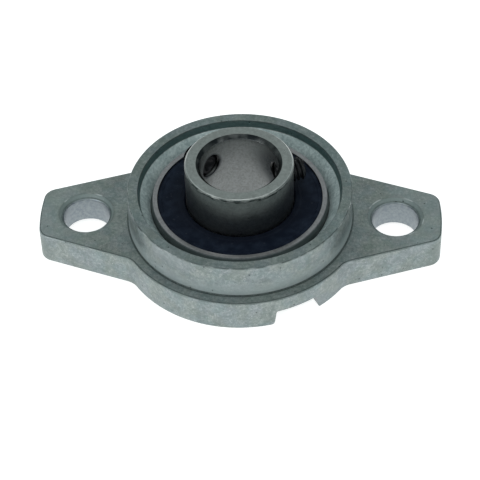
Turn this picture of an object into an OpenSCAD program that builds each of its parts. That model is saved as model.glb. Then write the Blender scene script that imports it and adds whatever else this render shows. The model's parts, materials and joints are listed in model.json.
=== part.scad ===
// Two-bolt flange bearing unit: a die-cast housing with a spherical seat, and in the seat
// a sealed ball bearing insert that leans to follow its shaft and is locked on it by two screws.
// Millimetres. The origin is the middle of the mounting face, the bearing axis is +Z,
// and the bolt holes lie along X.

/* [Flange] */
// Distance between the two bolt holes
bolt_spacing = 48; // [44:0.5:54]
// Diameter of a bolt hole
bolt_hole_d = 7.2; // [5:0.1:8]
// Chamfer at both ends of a bolt hole
bolt_hole_chamfer = 0.7; // [0.2:0.1:1]
// Thickness of the flange
flange_t = 5.5; // [4.5:0.1:6.5]
// Distance from the centre of a bolt hole to the tip of its ear
ear_reach = 7.2; // [6:0.1:10]
// Width of an ear across its bolt hole
ear_w = 14.6; // [12:0.1:17]
// Angle between the side of an ear and the bolt line
ear_taper = 19; // [10:1:25]
// Radius of the outer corners of an ear
ear_corner_r = 2.2; // [1:0.1:3]
// Radius of the hollow corner between an ear and the round middle
ear_fillet_r = 3; // [1:0.1:5]
// Width of the ledge around the foot of the hub
ledge_w = 1.65; // [1:0.05:3]

/* [Hub and seat] */
// Height of the seat's centre above the mounting face
seat_z = 5.5; // [5:0.1:6.5]
// Gap between the insert and its spherical seat
seat_gap = 0.05; // [0.03:0.01:0.1]
// How far the seat closes in at its two mouths
mouth_inset = 0.25; // [0.15:0.05:0.5]
// Width of the cone that leads from the recess into the seat
lead_in_w = 1.6; // [1:0.1:3]
// Height of that cone
lead_in_h = 1.85; // [1:0.05:3]
// Depth of the recess inside the hub's rim
recess_depth = 1.2; // [0.5:0.1:2]
// How far the recess's wall slopes in over its depth
recess_draft = 0.3; // [0.1:0.05:0.6]
// Width of the flat rim on top of the hub
rim_w = 1.55; // [1.2:0.05:3]
// Radius on the outer edge of the rim
rim_edge_r = 0.25; // [0.2:0.05:0.8]
// Draft of the hub's outer wall, in degrees
hub_draft = 1; // [0.5:0.5:3]
// Radius of the fillet at the foot of the hub
foot_fillet_r = 0.25; // [0.2:0.05:0.8]
// Chamfer around the opening in the mounting face
back_chamfer = 0.5; // [0.2:0.1:1]

/* [Loading slots] */
// Angle of the slots that the insert goes in through, from the bolt line
slot_angle = 119; // [90:0.5:140]
// Room for the width of the insert in the slots
slot_gap = 0.3; // [0.1:0.1:0.6]
// Width of each slot's run-out to the rim, at the mounting face
runout_w = 7.6; // [6:0.1:8]
// Depth of the run-outs
runout_depth = 2.9; // [1.5:0.1:3.5]
// How far each wall of a run-out slopes in over its depth
runout_draft = 0.4; // [0.3:0.05:1.5]

/* [Rings and balls] */
// Diameter of the shaft bore
bore_d = 12; // [10:0.5:15]
// Wall of the inner ring, from the bore to its outside
inner_wall = 2.3; // [2:0.1:3.5]
// Distance between the facing lands of the two rings
land_gap = 3.2; // [2.6:0.1:3.6]
// Wall of the outer ring, from its land to the spherical outside
outer_wall = 2.5; // [2.2:0.1:4]
// Diameter of the balls
ball_d = 4.762; // [4.2:0.001:5.3]
// Running gap between a ball and the bottom of its grooves
ball_gap = 0.05; // [0.03:0.01:0.08]
// Groove radius as a share of the ball's diameter
groove_share = 0.525; // [0.515:0.005:0.54]

// Length of the inner ring in front of the seat's centre
ring_front = 11; // [9.5:0.1:14]
// Length of the inner ring behind the seat's centre
ring_back = 4; // [3.7:0.1:4.8]
// Chamfer at both ends of the bore
bore_chamfer = 0.6; // [0.2:0.1:0.8]
// Chamfer on the outer edges of the inner ring
ring_chamfer = 0.25; // [0.1:0.05:0.5]

/* [Cage] */
// Thickness of the cage's sheet
cage_sheet = 0.35; // [0.25:0.05:0.4]
// Gap between a ball and its pocket
pocket_gap = 0.1; // [0.06:0.01:0.15]
// Gap between the cage and the lands of both rings
cage_land_gap = 0.5; // [0.3:0.05:0.7]
// Gap between the top of a pocket and the seal over it
cage_seal_gap = 0.319; // [0.2:0.001:0.8]
// Diameter of a rivet's shank
rivet_d = 0.7; // [0.5:0.1:0.8]
// Diameter of a rivet's heads
rivet_head_d = 1.3; // [1.1:0.1:1.5]
// Height of a rivet's heads
rivet_head_h = 0.3; // [0.2:0.05:0.4]

/* [Seals] */
// Width of the outer ring's lip around a seal
seal_lip_w = 0.72; // [0.5:0.02:0.9]
// How deep a seal's face lies below the face of the outer ring
seal_sink = 0.3; // [0.2:0.05:0.35]
// Thickness of a seal's rubber face
seal_face_t = 0.3; // [0.2:0.05:0.35]
// Thickness of a seal's steel core
seal_core_t = 0.25; // [0.2:0.05:0.3]
// Running gap between a seal's lip and the inner ring
seal_lip_gap = 0.06; // [0.04:0.01:0.1]
// Width of a seal's rubber lip
seal_inner_w = 0.7; // [0.5:0.1:0.9]
// Depth of the shallow ring in a seal's face
seal_relief = 0.1; // [0.05:0.01:0.15]

/* [Set screws] */
// Pitch diameter of the screws' thread
screw_d = 3.6; // [2.7:0.1:4.5]
// Length of a screw
screw_l = 4; // [3:0.5:6]
// Distance of the screws' axes from the front face of the inner ring
screw_drop = 4.3; // [3:0.1:4.6]
// Angle of the first screw, from the bolt line
screw_angle = 21; // [0:1:60]
// Angle between the two screws
screw_spread_angle = 120; // [90:5:135]
// Distance of the screws' tips from the bore
screw_tip_inset = 0.25; // [0.2:0.05:0.6]
// Gap around a screw in its hole
screw_gap = 0.05; // [0.03:0.01:0.1]
// Width across the flats of a screw's socket
socket_af = 2; // [1.3:0.1:2.4]
// Depth of a screw's socket
socket_depth = 1.6; // [1:0.1:2]
// Width of the cup in a screw's tip
cup_d = 2; // [1.2:0.1:2.4]
// Chamfer on a screw's two ends
screw_chamfer = 0.3; // [0.1:0.05:0.4]

/* [Hidden] */
BALLS = 8;
$fn = 128;
// Amount by which a cutting shape runs past what it cuts
over = 1;
// Fit between pieces that are fixed to each other
press_gap = 0.02;
// Depth by which a blend's circle runs into the faces that it blends, so that their edges cross
bite = 0.01;

bore_r = bore_d / 2;
ball_r = ball_d / 2;
inner_ring_r = bore_r + inner_wall;
outer_land_r = inner_ring_r + land_gap;
insert_r = outer_land_r + outer_wall;
pitch_r = (inner_ring_r + outer_land_r) / 2;

groove_r = ball_d * groove_share;
// A groove's arc is centred so that its bottom clears the ball by ball_gap
groove_shift = groove_r - ball_r - ball_gap;
pocket_r = ball_r + pocket_gap;
cage_h = pocket_r + cage_sheet;
cage_in_r = inner_ring_r + cage_land_gap;
cage_out_r = outer_land_r - cage_land_gap;

seal_shoulder_z = cage_h + cage_seal_gap;
seal_core_z = seal_shoulder_z + seal_core_t;
seal_face_z = seal_core_z + seal_face_t;
outer_ring_w = 2 * (seal_face_z + seal_sink);
lip_r = sqrt(insert_r * insert_r - outer_ring_w * outer_ring_w / 4);
seal_r = lip_r - seal_lip_w;
seal_in_r = inner_ring_r + seal_lip_gap;
core_in_r = seal_in_r + seal_inner_w;

screw_z = ring_front - screw_drop;

seat_r = insert_r + seat_gap;
mouth_r = seat_r - mouth_inset;
mouth_h = sqrt(seat_r * seat_r - mouth_r * mouth_r);
recess_r = mouth_r + lead_in_w;
recess_z = seat_z + mouth_h + lead_in_h;
hub_h = recess_z + recess_depth;
rim_in_r = recess_r + recess_draft;
hub_top_r = rim_in_r + rim_w;
hub_foot_r = hub_top_r + (hub_h - flange_t) * tan(hub_draft);
middle_r = hub_foot_r + ledge_w;
ear_tip_r = bolt_spacing / 2 + ear_reach;

slot_w = outer_ring_w + slot_gap;

// Ear side: a line at distance side_d from the centre, with outward normal side_n and direction side_t
side_n = [sin(ear_taper), cos(ear_taper)];
side_t = [cos(ear_taper), -sin(ear_taper)];
side_d = [bolt_spacing / 2, ear_w / 2] * side_n;

// Point at distance a along the side's normal that lies at radius r from the centre
function beside(a, r) = a * side_n + sqrt(r * r - a * a) * side_t;

// Flange

module ear_corner_cut() {
    centre = beside(side_d - ear_corner_r + bite, ear_tip_r - ear_corner_r + bite);
    to_side = ear_corner_r * side_n;
    to_tip = ear_corner_r * centre / norm(centre);
    difference() {
        polygon([centre, centre + to_side, centre + 1.2 * (to_side + to_tip), centre + to_tip]);
        translate(centre) circle(ear_corner_r);
    }
}

module ear_fillet() {
    centre = beside(side_d + ear_fillet_r - bite, middle_r + ear_fillet_r - bite);
    on_side = centre - ear_fillet_r * side_n;
    on_middle = centre - ear_fillet_r * centre / norm(centre);
    difference() {
        polygon([centre, on_side, (on_side + on_middle) / 2 - over * side_n, on_middle]);
        translate(centre) circle(ear_fillet_r);
    }
}

module ear_outline() {
    far_side = beside(side_d, ear_tip_r + over);
    near_side = beside(side_d, middle_r - over);
    difference() {
        intersection() {
            circle(ear_tip_r);
            polygon([[0, -near_side.y], [near_side.x, -near_side.y], [far_side.x, -far_side.y],
                [far_side.x, far_side.y], [near_side.x, near_side.y], [0, near_side.y]]);
        }
        for (half = [0, 1]) mirror([0, half]) ear_corner_cut();
    }
    for (half = [0, 1]) mirror([0, half]) ear_fillet();
}

module flange_outline() {
    circle(middle_r);
    for (end = [0, 1]) mirror([end, 0]) ear_outline();
}

module bolt_hole() {
    hole_r = bolt_hole_d / 2;
    mouth = bolt_hole_chamfer + over;
    translate([0, 0, -over]) cylinder(r = hole_r, h = flange_t + 2 * over);
    translate([0, 0, -over]) cylinder(r1 = hole_r + mouth, r2 = hole_r, h = mouth);
    translate([0, 0, flange_t - bolt_hole_chamfer]) cylinder(r1 = hole_r, r2 = hole_r + mouth, h = mouth);
}

// Housing

module rim_edge_cut() {
    depth = rim_edge_r - bite;
    translate([hub_top_r + depth * tan(hub_draft) - depth / cos(hub_draft), hub_h - depth]) difference() {
        square(over);
        circle(rim_edge_r);
    }
}

module foot_fillet() {
    height = foot_fillet_r - bite;
    reach = foot_fillet_r - foot_fillet_r * tan(hub_draft) - bite;
    translate([hub_foot_r, flange_t]) difference() {
        translate([-over, -over]) square([over + reach, over + height]);
        translate([reach, height]) circle(foot_fillet_r);
    }
}

module hub() {
    rotate_extrude() {
        difference() {
            polygon([[0, 0], [hub_foot_r, 0], [hub_foot_r, flange_t], [hub_top_r, hub_h], [0, hub_h]]);
            rim_edge_cut();
        }
        foot_fillet();
    }
}

// Everything inside the hub: the spherical seat, its mouth at the back, and the lead-in and recess in front
module seat_space() {
    cone_start = [mouth_r - lead_in_w / 2, seat_z + mouth_h - lead_in_h / 2];
    recess_top = [rim_in_r + over * recess_draft / recess_depth, hub_h + over];
    chamfer_start = mouth_r + back_chamfer + over;
    rotate_extrude() {
        intersection() {
            translate([0, seat_z]) circle(seat_r);
            translate([0, seat_z - seat_r]) square(2 * seat_r);
        }
        polygon([[0, -over], [chamfer_start, -over], [mouth_r, back_chamfer], [mouth_r, seat_z], [0, seat_z]]);
        polygon([[0, seat_z], cone_start, [recess_r, recess_z], recess_top, [0, hub_h + over]]);
    }
}

// The insert goes in edge on as far as the seat's centre, and is then turned flat
module loading_slots() {
    rotate(slot_angle) {
        intersection() {
            translate([-seat_r - over, -slot_w / 2, -over]) cube([2 * (seat_r + over), slot_w, seat_z + over]);
            translate([0, 0, -over]) cylinder(r = seat_r + slot_gap / 2, h = seat_z + 2 * over);
        }
        slope = runout_draft / runout_depth;
        wide = runout_w / 2 + slope * over;
        narrow = runout_w / 2 - runout_draft;
        rotate([90, 0, 90]) linear_extrude(2 * (middle_r + over), center = true)
            polygon([[-wide, -over], [wide, -over], [narrow, runout_depth], [-narrow, runout_depth]]);
    }
}

module housing() {
    color("#8a9391") difference() {
        union() {
            linear_extrude(flange_t) flange_outline();
            hub();
        }
        seat_space();
        loading_slots();
        for (side = [-1, 1]) translate([side * bolt_spacing / 2, 0, 0]) bolt_hole();
    }
}

// Bearing insert, drawn around the seat's centre

module groove(centre_r) {
    translate([centre_r, 0]) circle(groove_r);
}

module outer_ring() {
    color("#a9a4a4") translate([0, 0, seat_z]) rotate_extrude() difference() {
        intersection() {
            circle(insert_r);
            translate([outer_land_r, -outer_ring_w / 2]) square([insert_r - outer_land_r, outer_ring_w]);
        }
        groove(pitch_r - groove_shift);
        for (face = [0, 1]) mirror([0, face])
            translate([0, seal_shoulder_z]) square([seal_r, outer_ring_w]);
    }
}

module screw_places() {
    for (turn = [0, screw_spread_angle]) rotate(screw_angle + turn) translate([0, 0, screw_z]) children();
}

module inner_ring() {
    color("#c4c6c8") translate([0, 0, seat_z]) difference() {
        rotate_extrude() difference() {
            polygon([
                [bore_r, -ring_back + bore_chamfer], [bore_r + bore_chamfer, -ring_back],
                [inner_ring_r - ring_chamfer, -ring_back], [inner_ring_r, -ring_back + ring_chamfer],
                [inner_ring_r, ring_front - ring_chamfer], [inner_ring_r - ring_chamfer, ring_front],
                [bore_r + bore_chamfer, ring_front], [bore_r, ring_front - bore_chamfer]]);
            groove(pitch_r + groove_shift);
        }
        screw_places() rotate([0, 90, 0]) cylinder(d = screw_d + 2 * screw_gap, h = inner_ring_r + over);
    }
}

module around_pitch(shift) {
    for (i = [1 : BALLS]) rotate((i - 1 + shift) * 360 / BALLS) translate([pitch_r, 0, 0]) children();
}

module ball(i) {
    color("#d6d8da") translate([0, 0, seat_z]) rotate((i - 1) * 360 / BALLS) translate([pitch_r, 0, 0])
        sphere(ball_r);
}

// One half of the pressed ribbon cage, lying on the plane of the balls' centres
module cage_half() {
    intersection() {
        difference() {
            cylinder(r = cage_out_r, h = cage_h);
            translate([0, 0, -over]) cylinder(r = cage_in_r, h = cage_h + 2 * over);
        }
        difference() {
            union() {
                translate([0, 0, -over]) cylinder(r = cage_out_r + over, h = cage_sheet + over);
                around_pitch(0) sphere(cage_h);
            }
            around_pitch(0) sphere(pocket_r);
            around_pitch(0.5) cylinder(d = rivet_d + 2 * press_gap, h = 4 * cage_sheet, center = true);
        }
    }
}

module cage_front() {
    color("#b9b29c") translate([0, 0, seat_z]) cage_half();
}

module cage_back() {
    color("#b9b29c") translate([0, 0, seat_z]) mirror([0, 0, 1]) cage_half();
}

module rivet() {
    dome_r = (rivet_head_d * rivet_head_d / 4 + rivet_head_h * rivet_head_h) / (2 * rivet_head_h);
    rotate_extrude() {
        translate([0, -cage_sheet]) square([rivet_d / 2, 2 * cage_sheet]);
        for (face = [0, 1]) mirror([0, face]) intersection() {
            translate([0, cage_sheet]) square([rivet_head_d / 2, rivet_head_h]);
            translate([0, cage_sheet + rivet_head_h - dome_r]) circle(dome_r);
        }
    }
}

module cage_rivets() {
    color("#9d9787") translate([0, 0, seat_z]) around_pitch(0.5) rivet();
}

// Rubber of one seal: a face on the steel core, and a lip that hangs in front of the core's edge
module seal_rubber() {
    rotate_extrude() difference() {
        union() {
            translate([seal_in_r, seal_core_z]) square([seal_r - press_gap - seal_in_r, seal_face_t]);
            translate([seal_in_r, seal_shoulder_z]) square([seal_inner_w - press_gap, seal_core_t + seal_face_t]);
        }
        translate([core_in_r, seal_face_z - seal_relief])
            square([seal_r - seal_inner_w - core_in_r, over]);
    }
}

module seal_core() {
    rotate_extrude() translate([core_in_r, seal_shoulder_z]) square([seal_r - press_gap - core_in_r, seal_core_t]);
}

module seal_front() {
    color("#1c1d24") translate([0, 0, seat_z]) seal_rubber();
}

module seal_front_core() {
    color("#8f9194") translate([0, 0, seat_z]) seal_core();
}

module seal_back() {
    color("#1c1d24") translate([0, 0, seat_z]) mirror([0, 0, 1]) seal_rubber();
}

module seal_back_core() {
    color("#8f9194") translate([0, 0, seat_z]) mirror([0, 0, 1]) seal_core();
}

// Set screw with its tip at the origin, pointing down, and its socket on top
module set_screw() {
    screw_r = screw_d / 2;
    cup_r = cup_d / 2;
    difference() {
        rotate_extrude() polygon([
            [0, 0], [screw_r - screw_chamfer, 0], [screw_r, screw_chamfer],
            [screw_r, screw_l - screw_chamfer], [screw_r - screw_chamfer, screw_l], [0, screw_l]]);
        translate([0, 0, screw_l - socket_depth])
            cylinder(d = socket_af / cos(30), h = socket_depth + over, $fn = 6);
        translate([0, 0, -over]) cylinder(r1 = cup_r + over, r2 = 0, h = cup_r + over);
    }
}

module placed_screw(turn) {
    color("#2b2c2f") translate([0, 0, seat_z + screw_z]) rotate(screw_angle + turn)
        translate([bore_r + screw_tip_inset, 0, 0]) rotate([0, 90, 0]) set_screw();
}

module set_screw_a() {
    placed_screw(0);
}

module set_screw_b() {
    placed_screw(screw_spread_angle);
}

housing();
outer_ring();
inner_ring();
for (i = [1 : BALLS]) ball(i);
cage_front();
cage_back();
cage_rivets();
seal_front();
seal_front_core();
seal_back();
seal_back_core();
set_screw_a();
set_screw_b();
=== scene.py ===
# %% [markdown]
# # A two-bolt flange bearing unit
#
# A die-cast zinc housing carries a sealed ball bearing in a ball-shaped seat, so the bearing can lean a few
# degrees and follow its shaft. Two small set screws lock the long inner ring on that shaft.
# The solid model fixes every size. Here each piece that shows is modelled again with the rounded edges,
# threads and surface finish that the real one has, and it takes the place of its plain solid.

# %% Load the solid model
import json
import math
from types import SimpleNamespace

import bmesh
import bpy
from mathutils import Matrix, Vector

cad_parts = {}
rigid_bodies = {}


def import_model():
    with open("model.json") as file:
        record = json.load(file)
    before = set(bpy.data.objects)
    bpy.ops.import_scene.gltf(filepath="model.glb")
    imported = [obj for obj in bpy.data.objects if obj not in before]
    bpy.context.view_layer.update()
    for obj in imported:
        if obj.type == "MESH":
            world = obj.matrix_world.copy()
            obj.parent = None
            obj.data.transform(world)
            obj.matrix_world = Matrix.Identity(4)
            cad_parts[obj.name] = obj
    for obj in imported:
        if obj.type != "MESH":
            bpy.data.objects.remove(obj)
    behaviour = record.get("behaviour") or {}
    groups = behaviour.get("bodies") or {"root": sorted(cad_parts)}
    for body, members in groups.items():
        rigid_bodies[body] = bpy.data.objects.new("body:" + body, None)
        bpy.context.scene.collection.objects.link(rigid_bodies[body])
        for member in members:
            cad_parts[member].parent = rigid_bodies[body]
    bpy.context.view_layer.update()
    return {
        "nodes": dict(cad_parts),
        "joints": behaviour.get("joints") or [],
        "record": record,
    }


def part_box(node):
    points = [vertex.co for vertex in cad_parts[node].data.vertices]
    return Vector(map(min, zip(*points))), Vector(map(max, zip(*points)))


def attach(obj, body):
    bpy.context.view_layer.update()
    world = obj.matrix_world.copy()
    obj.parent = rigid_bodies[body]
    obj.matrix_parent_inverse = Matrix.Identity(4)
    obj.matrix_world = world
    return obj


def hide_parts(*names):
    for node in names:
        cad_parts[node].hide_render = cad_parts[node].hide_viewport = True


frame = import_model()

# %% [markdown]
# ## Measures
#
# Modelling tools have small built-in tolerances, and on a thumb-sized part drawn in metres these can bite.
# So every piece is drawn in millimetres, a thousand times too large, and is scaled down when it is finished.
# The main sizes are read from the solid model, so the new pieces fit where the old ones were.

# %% Sizes that the solid model gives
MM = 0.001
mounts = {mount["name"]: mount for mount in frame["record"]["mounts"]}
joints = {joint["name"]: joint for joint in frame["joints"]}


def node_box(node):
    """Lowest and highest corner of a solid, in millimetres, to a hundredth."""
    return [Vector([round(value / MM, 2) for value in corner]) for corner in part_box(node)]


bolt_spacing = mounts["bolt_holes"]["dims"]["spacing_x_mm"]
bolt_r = mounts["bolt_holes"]["dims"]["hole_r_mm"]
flange_t = 2 * mounts["bolt_holes"]["pos_m"][2] / MM
bore_r = mounts["shaft_bore"]["dims"]["r_mm"]
seat_z = joints["self_align"]["pos_m"][2] / MM

ear_tip_r = node_box("housing")[1].x
middle_r = node_box("housing")[1].y
hub_h = node_box("housing")[1].z
insert_r = node_box("outer_ring")[1].x
outer_half_w = node_box("outer_ring")[1].z - seat_z
lip_out_r = math.sqrt(insert_r ** 2 - outer_half_w ** 2)
inner_ring_r = node_box("inner_ring")[1].x
ring_front_z = node_box("inner_ring")[1].z
ring_back_z = node_box("inner_ring")[0].z
seal_r = node_box("seal_front")[1].x
seal_face_z = node_box("seal_front")[1].z - seat_z
seal_foot_z = node_box("seal_front")[0].z - seat_z
SCREW_NODES = ("set_screw_a", "set_screw_b")
screw_z = sum(corner.z for corner in node_box(SCREW_NODES[0])) / 2
print("flange", 2 * ear_tip_r, "x", 2 * middle_r, "mm; bore", 2 * bore_r, "mm; insert", 2 * insert_r, "mm")

# %% Sizes of the hub
SEAT_GAP = 0.05
MOUTH_INSET = 0.25
LEAD_IN_W = 1.6
RECESS_DEPTH = 1.2
RECESS_DRAFT = 0.3
RIM_W = 1.55
RIM_EDGE_R = 0.15
RIM_INNER_R = 0.1
FOOT_FILLET_R = 0.1
DUST_W = 0.3
BACK_CHAMFER = 0.5
HUB_DRAFT = math.radians(1)

seat_r = insert_r + SEAT_GAP
mouth_r = seat_r - MOUTH_INSET
mouth_h = math.sqrt(seat_r ** 2 - mouth_r ** 2)
recess_r = mouth_r + LEAD_IN_W
recess_z = hub_h - RECESS_DEPTH
rim_in_r = recess_r + RECESS_DRAFT
hub_top_r = rim_in_r + RIM_W
hub_foot_r = hub_top_r + (hub_h - flange_t) * math.tan(HUB_DRAFT)
print("hub", round(2 * hub_top_r, 2), "mm across and", hub_h, "mm high; seat", 2 * seat_r, "mm")

# %% [markdown]
# ## Camera
#
# The unit is seen from the front and from well above, through a long lens that keeps its two ears nearly
# parallel. A camera that is turned a little about its own line of sight gives the slight tilt of the picture.
# The camera's three axes are worked out first, because they make its matrix directly.

# %% The camera
VIEW_AIM = Vector((0.122, -5.070, 5.0))
VIEW_AZIMUTH = math.radians(3.4444)
VIEW_ELEVATION = math.radians(45.0718)
VIEW_ROLL = math.radians(1.6926)
VIEW_DISTANCE = 288.31
LENS = 140.88
NEAR_CLIP = 0.01

back = Vector((
    math.sin(VIEW_AZIMUTH) * math.cos(VIEW_ELEVATION),
    -math.cos(VIEW_AZIMUTH) * math.cos(VIEW_ELEVATION),
    math.sin(VIEW_ELEVATION),
))
level = Vector((math.cos(VIEW_AZIMUTH), math.sin(VIEW_AZIMUTH), 0))
upright = back.cross(level)
right = level * math.cos(VIEW_ROLL) - upright * math.sin(VIEW_ROLL)
up = level * math.sin(VIEW_ROLL) + upright * math.cos(VIEW_ROLL)

bpy.ops.object.select_all(action="DESELECT")
bpy.ops.object.camera_add()
camera = bpy.context.object
camera.name = "camera"
camera.matrix_world = Matrix.Translation((VIEW_AIM + back * VIEW_DISTANCE) * MM) @ (
    Matrix((right, up, back)).transposed().to_4x4()
)
camera.data.lens = LENS
camera.data.clip_start = NEAR_CLIP
bpy.context.scene.camera = camera
print("camera", round(VIEW_DISTANCE), "mm away, lens", LENS, "mm")

# %% [markdown]
# ## Writing shaders as sums
#
# A node tree grows quickly when noise, masks and colours are mixed. This small class holds one output socket
# and lets Python's own operators add the Math nodes, so a finish can be read as a few lines of arithmetic.
# One method, `node`, makes every other kind of node: settings first, then the values or links of its sockets.

# %% A node tree that is written as arithmetic
SPECK_EDGE = 0.02


class Wire:
    """One output socket. Sums with wires and numbers add Math nodes."""

    def __init__(self, bench, socket):
        self.bench = bench
        self.socket = socket

    def math(self, operation, *values):
        return self.bench.node("ShaderNodeMath", {"operation": operation}, dict(enumerate(values)))

    def __add__(self, other):
        return self.math("ADD", self, other)

    def __radd__(self, other):
        return self.math("ADD", other, self)

    def __sub__(self, other):
        return self.math("SUBTRACT", self, other)

    def __rsub__(self, other):
        return self.math("SUBTRACT", other, self)

    def __mul__(self, other):
        return self.math("MULTIPLY", self, other)

    def __rmul__(self, other):
        return self.math("MULTIPLY", other, self)

    def __abs__(self):
        return self.math("ABSOLUTE", self)

    def over(self, low, high):
        """0 below low, 1 above high, and a smooth rise between them."""
        limits = {"Value": self, "From Min": low, "From Max": high}
        return self.bench.node("ShaderNodeMapRange", {"interpolation_type": "SMOOTHSTEP"}, limits)

    def under(self, low, high):
        """1 below low, 0 above high, and a smooth fall between them."""
        return 1 - self.over(low, high)

    def larger(self, other):
        return self.math("MAXIMUM", self, other)

    def smaller(self, other):
        return self.math("MINIMUM", self, other)


class Bench:
    """The node tree of one material, or of the world."""

    def __init__(self, owner):
        owner.use_nodes = True
        self.tree = owner.node_tree
        self.tree.nodes.clear()

    def node(self, kind, settings=None, sockets=None, output=0):
        node = self.tree.nodes.new(kind)
        for name, value in (settings or {}).items():
            setattr(node, name, value)
        for name, value in (sockets or {}).items():
            if isinstance(value, Wire):
                self.tree.links.new(value.socket, node.inputs[name])
            else:
                node.inputs[name].default_value = value
        return Wire(self, node.outputs[output]) if node.outputs else None

    def place(self, stretch=(1, 1, 1)):
        """The point on the piece in millimetres, stretched to suit a pattern."""
        point = self.node("ShaderNodeTexCoord", output="Object")
        scale = [value / MM for value in stretch]
        return self.node("ShaderNodeMapping", {"vector_type": "POINT"}, {"Vector": point, "Scale": scale})

    def split(self, vector):
        return [self.node("ShaderNodeSeparateXYZ", None, {"Vector": vector}, axis) for axis in range(3)]

    def join(self, x, y, z):
        return self.node("ShaderNodeCombineXYZ", None, {"X": x, "Y": y, "Z": z})

    def reach(self, x, y):
        """The length of a flat step."""
        return self.node("ShaderNodeVectorMath", {"operation": "LENGTH"}, {0: self.join(x, y, 0)}, "Value")

    def noise(self, vector, size, detail=2.0, rough=0.5):
        """Cloudy noise from 0 to 1 whose blobs are about this many millimetres across."""
        sockets = {"Vector": vector, "Scale": 1 / size, "Detail": detail, "Roughness": rough}
        return self.node("ShaderNodeTexNoise", {"noise_dimensions": "3D"}, sockets)

    def specks(self, vector, spacing, radius, share):
        """1 inside small round spots. A share of the places that are about spacing apart has one."""
        cells = {"Vector": vector, "Scale": 1 / spacing}
        settings = {"feature": "F1", "distance": "EUCLIDEAN"}
        distance = self.node("ShaderNodeTexVoronoi", settings, cells)
        colour = self.node("ShaderNodeTexVoronoi", settings, cells, "Color")
        chance = self.split(colour)[0]
        inside = distance.under(0.5 * radius / spacing, radius / spacing)
        return inside * chance.over(1 - share, 1 - share + SPECK_EDGE)

    def blend(self, amount, first, second):
        """First where the amount is 0 and second where it is 1. Both are colours."""
        colours = {0: amount, 6: first, 7: second}
        return self.node("ShaderNodeMix", {"data_type": "RGBA"}, colours, 2)

    def coats(self, colour, layers):
        """The colour with layers blended over it in turn. Each is an amount and a red, green and blue."""
        for amount, coat in layers:
            colour = self.blend(amount, colour, (*coat, 1))
        return colour

    def bump(self, height, depth):
        """A surface normal from a height of 0 to 1 that stands for this many millimetres."""
        return self.node("ShaderNodeBump", None, {"Height": height, "Distance": depth * MM})

    def surface(self, shader):
        self.node("ShaderNodeOutputMaterial", None, {"Surface": shader})


def new_finish(name):
    material = bpy.data.materials.new(name)
    return material, Bench(material)


print("shader helper ready")

# %% [markdown]
# ## Studio
#
# Metal shows what is around it. The unit lies on white paper in a plain grey room: its front walls mirror the
# paper and are light, and its flat tops mirror the room and are darker. A white picture could be had by
# raising the lamps until the paper burns out, but that would wash out the metal too. Instead the paper glows
# for rays from the camera and for reflections only, so it is white in both. Under the unit little light
# reaches the paper, so its glow falls by half there, or the bore would be lit from below like a lantern.
# Two broad lamps, in front and above, give the soft light. Two small ones at the sides draw thin highlights.

# %% World, paper and lamps
WHITE = (1, 1, 1, 1)
ROOM = (0.455, 0.515, 0.51, 1)
PAPER_GLOW = 0.82
SHADED_GLOW = 0.5
SHADED_R = 10
OPEN_R = 18
PAPER_DARK = (0.78, 0.78, 0.78, 1)
PAPER_LIGHT = (0.82, 0.82, 0.82, 1)
PAPER_SIZE = 6
PAPER_DROP = 0.02
LAMP_DISTANCE = 0.9


def seen_directly(bench):
    """1 for rays from the camera, from a reflection or through glass."""
    rays = [bench.node("ShaderNodeLightPath", output=name)
            for name in ("Is Camera Ray", "Is Glossy Ray", "Is Transmission Ray")]
    return rays[0].larger(rays[1]).larger(rays[2])


bpy.context.scene.view_settings.view_transform = "Standard"
world = bpy.data.worlds.new("studio")
bpy.context.scene.world = world
bench = Bench(world)
room = bench.node("ShaderNodeBackground", None, {"Color": ROOM, "Strength": 1.0})
bench.node("ShaderNodeOutputWorld", None, {"Surface": room})

paper, bench = new_finish("white_paper")
point = bench.place()
x, y = bench.split(point)[:2]
grain = bench.noise(point, 2.5, 3).over(0.3, 0.7)
tint = bench.blend(grain, PAPER_DARK, PAPER_LIGHT)
matt = bench.node("ShaderNodeBsdfDiffuse", None, {"Color": tint})
glow = bench.node("ShaderNodeEmission", None, {"Color": WHITE, "Strength": PAPER_GLOW})
lit = bench.node("ShaderNodeAddShader", None, {0: matt, 1: glow})
openness = bench.reach(x, y).over(SHADED_R, OPEN_R)
glowing = seen_directly(bench) * (SHADED_GLOW + (1 - SHADED_GLOW) * openness)
bench.surface(bench.node("ShaderNodeMixShader", None, {0: glowing, 1: matt, 2: lit}))

bpy.ops.object.select_all(action="DESELECT")
bpy.ops.mesh.primitive_plane_add(size=PAPER_SIZE)
floor = bpy.context.object
floor.name = "paper"
floor.location.z = -PAPER_DROP * MM
floor.data.materials.append(paper)


def lamp(name, azimuth, elevation, size, power):
    """A square soft lamp that faces the unit. Its direction is in degrees, its size in metres."""
    turn = math.radians(azimuth)
    rise = math.radians(elevation)
    towards = Vector((math.sin(turn) * math.cos(rise), -math.cos(turn) * math.cos(rise), math.sin(rise)))
    bpy.ops.object.select_all(action="DESELECT")
    bpy.ops.object.light_add(type="AREA")
    light = bpy.context.object
    light.name = name
    light.data.size = size
    light.data.energy = power
    light.location = towards * LAMP_DISTANCE
    light.rotation_euler = towards.to_track_quat("Z", "Y").to_euler()


lamp("front_lamp", azimuth=-34, elevation=24, size=0.6, power=1.15)
lamp("high_lamp", azimuth=5, elevation=55, size=0.5, power=0.55)
lamp("left_lamp", azimuth=-56, elevation=29, size=0.24, power=0.4)
lamp("right_lamp", azimuth=52, elevation=36, size=0.24, power=0.3)
print("room, paper and 4 lamps")

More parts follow.
